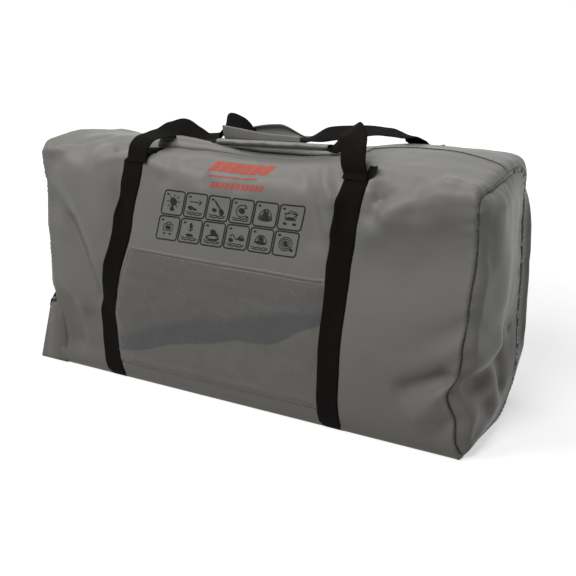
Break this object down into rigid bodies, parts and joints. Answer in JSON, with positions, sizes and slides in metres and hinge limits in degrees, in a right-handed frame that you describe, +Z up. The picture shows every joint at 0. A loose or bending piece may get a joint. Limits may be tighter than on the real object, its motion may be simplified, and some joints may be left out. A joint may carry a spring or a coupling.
{
  "type": "liferaft valise",
  "caption": "Packed soft valise for a coastal liferaft: grey coated fabric, black girth webbings, carry handles with wrapped grips and a clear document pocket.",
  "frame": {"origin": "centre of the flat base that the valise stands on", "axes": "+X along the valise towards its right end, -Y towards the front with the clear pocket, +Z up"},
  "size_m": [0.8321, 0.2724, 0.4639],
  "materials": {
    "bag_fabric": "satin coated",
    "black_webbing": "woven matte",
    "grip_fabric": "satin coated",
    "clear_film": "clear gloss"
  },
  "bodies": {
    "root": {"valise_body": "bag_fabric", "girth_webbing_left": "black_webbing", "girth_webbing_right": "black_webbing", "front_handle_webbing": "black_webbing", "rear_handle_webbing": "black_webbing", "front_grip_wrap": "grip_fabric", "rear_grip_wrap": "grip_fabric", "window_pocket_film": "clear_film", "window_pocket_hem": "bag_fabric", "closure_lip": "bag_fabric", "closure_flap": "bag_fabric", "end_pocket": "bag_fabric", "end_pocket_webbing": "black_webbing"}
  },
  "joints": []
}
